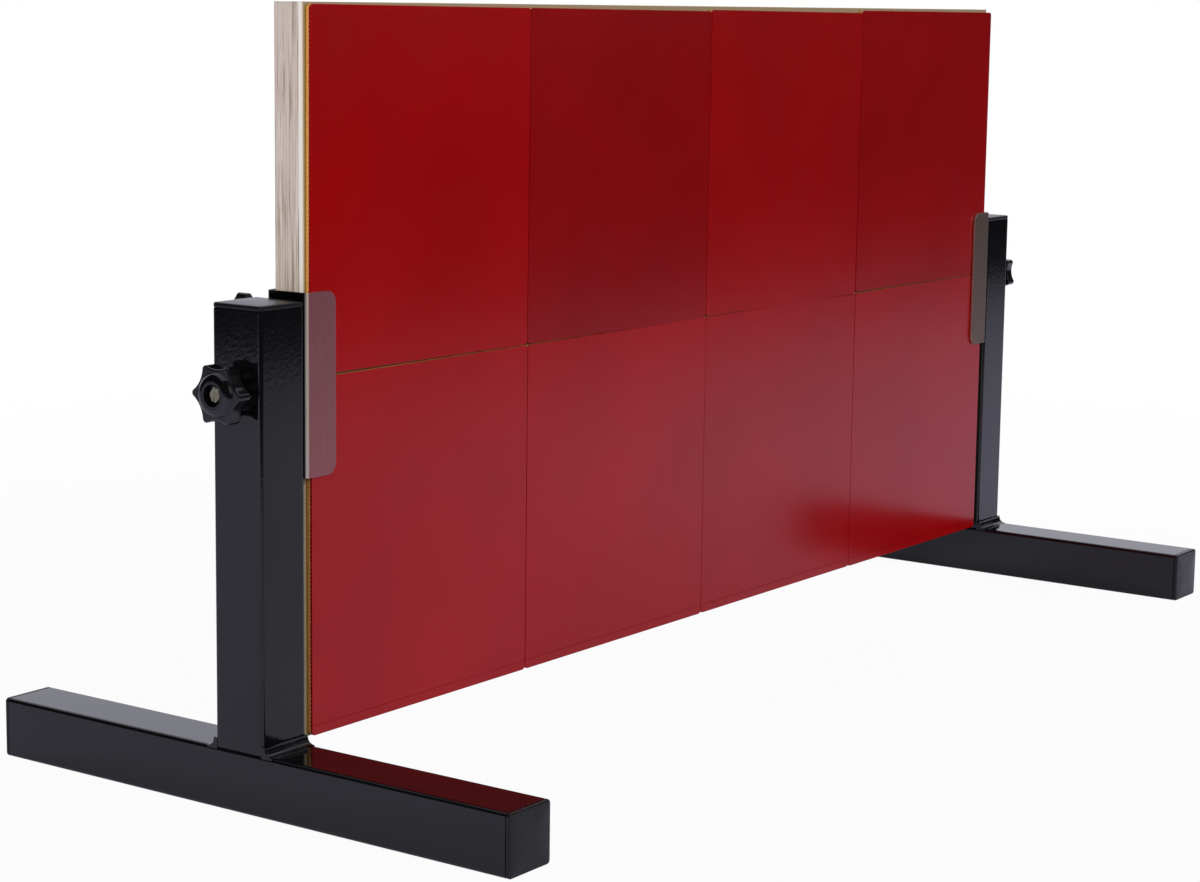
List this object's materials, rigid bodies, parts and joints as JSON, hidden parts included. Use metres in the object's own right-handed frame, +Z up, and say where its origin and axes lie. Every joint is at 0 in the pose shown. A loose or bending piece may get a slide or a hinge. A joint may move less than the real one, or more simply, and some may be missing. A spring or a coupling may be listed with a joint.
{
  "type": "table tennis rebound board",
  "caption": "Rubber-faced practice board that tilts on pivots between square-tube stands, held by U brackets, star knobs and rear clamp screws.",
  "frame": {"origin": "on the floor, midway between the two stands and straight under the pivot axis", "axes": "+X along the board to the player's right, +Y away from the player, +Z up"},
  "size_m": [0.7726, 0.3204, 0.3775],
  "materials": {
    "panel": "melamine-faced chipboard, pale oak decor",
    "edge_band": "glued edge strip, pale oak decor with fine grain",
    "sponge": "matt orange sponge",
    "topsheet": "smooth glossy red rubber",
    "black_paint": "glossy black paint with light orange peel",
    "cap_plastic": "satin black moulded polythene",
    "bracket_steel": "dark polished steel sheet",
    "knob_plastic": "glossy black moulded plastic",
    "bush": "turned brass",
    "zinc": "yellowish zinc plate"
  },
  "bodies": {
    "stands": {"left_foot_tube": "black_paint", "left_foot_front_cap": "cap_plastic", "left_foot_rear_cap": "cap_plastic", "left_post_tube": "black_paint", "left_post_cap": "cap_plastic", "left_post_weld_beads": "black_paint", "right_foot_tube": "black_paint", "right_foot_front_cap": "cap_plastic", "right_foot_rear_cap": "cap_plastic", "right_post_tube": "black_paint", "right_post_cap": "cap_plastic", "right_post_weld_beads": "black_paint"},
    "board": {"panel_core": "panel", "edge_band_bottom": "edge_band", "edge_band_left": "edge_band", "edge_band_right": "edge_band", "edge_band_top": "edge_band", "sponge_lower_1": "sponge", "sponge_lower_2": "sponge", "sponge_lower_3": "sponge", "sponge_lower_4": "sponge", "sponge_upper_1": "sponge", "sponge_upper_2": "sponge", "sponge_upper_3": "sponge", "sponge_upper_4": "sponge", "topsheet_lower_1": "topsheet", "topsheet_lower_2": "topsheet", "topsheet_lower_3": "topsheet", "topsheet_lower_4": "topsheet", "topsheet_upper_1": "topsheet", "topsheet_upper_2": "topsheet", "topsheet_upper_3": "topsheet", "topsheet_upper_4": "topsheet", "left_bracket": "bracket_steel", "left_clamp_nuts": "zinc", "left_pivot_bolt": "zinc", "right_bracket": "bracket_steel", "right_clamp_nuts": "zinc", "right_pivot_bolt": "zinc"},
    "left_pivot_bush": {"left_pivot_bush": "bush"},
    "left_pivot_knob": {"left_pivot_knob": "knob_plastic"},
    "left_lower_clamp_screw": {"left_lower_clamp_screw": "zinc"},
    "left_lower_clamp_knob": {"left_lower_clamp_knob": "knob_plastic"},
    "left_upper_clamp_screw": {"left_upper_clamp_screw": "zinc"},
    "left_upper_clamp_knob": {"left_upper_clamp_knob": "knob_plastic"},
    "right_pivot_bush": {"right_pivot_bush": "bush"},
    "right_pivot_knob": {"right_pivot_knob": "knob_plastic"},
    "right_lower_clamp_screw": {"right_lower_clamp_screw": "zinc"},
    "right_lower_clamp_knob": {"right_lower_clamp_knob": "knob_plastic"},
    "right_upper_clamp_screw": {"right_upper_clamp_screw": "zinc"},
    "right_upper_clamp_knob": {"right_upper_clamp_knob": "knob_plastic"}
  },
  "joints": [
    {"name": "board_tilt", "type": "hinge", "parent": "stands", "child": "board", "pos_m": [0, 0, 0.2], "axis": [1, 0, 0], "continuous": true},
    {"name": "left_pivot_feed", "type": "slide", "parent": "board", "child": "left_pivot_bush", "axis": [-1, 0, 0], "range_m": [0, 0.0026]},
    {"name": "left_pivot_turn", "type": "hinge", "parent": "left_pivot_bush", "child": "left_pivot_knob", "pos_m": [-0.378, 0, 0.2], "axis": [-1, 0, 0], "range_deg": [0, 748.8]},
    {"name": "left_lower_clamp_feed", "type": "slide", "parent": "board", "child": "left_lower_clamp_screw", "axis": [0, 1, 0], "range_m": [0, 0.0046]},
    {"name": "left_lower_clamp_turn", "type": "hinge", "parent": "left_lower_clamp_screw", "child": "left_lower_clamp_knob", "pos_m": [-0.3245, 0.03, 0.17705], "axis": [0, 1, 0], "range_deg": [0, 1656]},
    {"name": "left_upper_clamp_feed", "type": "slide", "parent": "board", "child": "left_upper_clamp_screw", "axis": [0, 1, 0], "range_m": [0, 0.0046]},
    {"name": "left_upper_clamp_turn", "type": "hinge", "parent": "left_upper_clamp_screw", "child": "left_upper_clamp_knob", "pos_m": [-0.3245, 0.03, 0.22455], "axis": [0, 1, 0], "range_deg": [0, 1656]},
    {"name": "right_pivot_feed", "type": "slide", "parent": "board", "child": "right_pivot_bush", "axis": [1, 0, 0], "range_m": [0, 0.0026]},
    {"name": "right_pivot_turn", "type": "hinge", "parent": "right_pivot_bush", "child": "right_pivot_knob", "pos_m": [0.378, 0, 0.2], "axis": [1, 0, 0], "range_deg": [0, 748.8]},
    {"name": "right_lower_clamp_feed", "type": "slide", "parent": "board", "child": "right_lower_clamp_screw", "axis": [0, 1, 0], "range_m": [0, 0.0046]},
    {"name": "right_lower_clamp_turn", "type": "hinge", "parent": "right_lower_clamp_screw", "child": "right_lower_clamp_knob", "pos_m": [0.3245, 0.03, 0.17705], "axis": [0, 1, 0], "range_deg": [0, 1656]},
    {"name": "right_upper_clamp_feed", "type": "slide", "parent": "board", "child": "right_upper_clamp_screw", "axis": [0, 1, 0], "range_m": [0, 0.0046]},
    {"name": "right_upper_clamp_turn", "type": "hinge", "parent": "right_upper_clamp_screw", "child": "right_upper_clamp_knob", "pos_m": [0.3245, 0.03, 0.22455], "axis": [0, 1, 0], "range_deg": [0, 1656]}
  ],
  "couplings": [
    {"joint": "left_pivot_turn", "follows": "left_pivot_feed", "rad_per_m": 5026.5},
    {"joint": "left_lower_clamp_turn", "follows": "left_lower_clamp_feed", "rad_per_m": 6283.2},
    {"joint": "left_upper_clamp_turn", "follows": "left_upper_clamp_feed", "rad_per_m": 6283.2},
    {"joint": "right_pivot_turn", "follows": "right_pivot_feed", "rad_per_m": 5026.5},
    {"joint": "right_lower_clamp_turn", "follows": "right_lower_clamp_feed", "rad_per_m": 6283.2},
    {"joint": "right_upper_clamp_turn", "follows": "right_upper_clamp_feed", "rad_per_m": 6283.2}
  ]
}
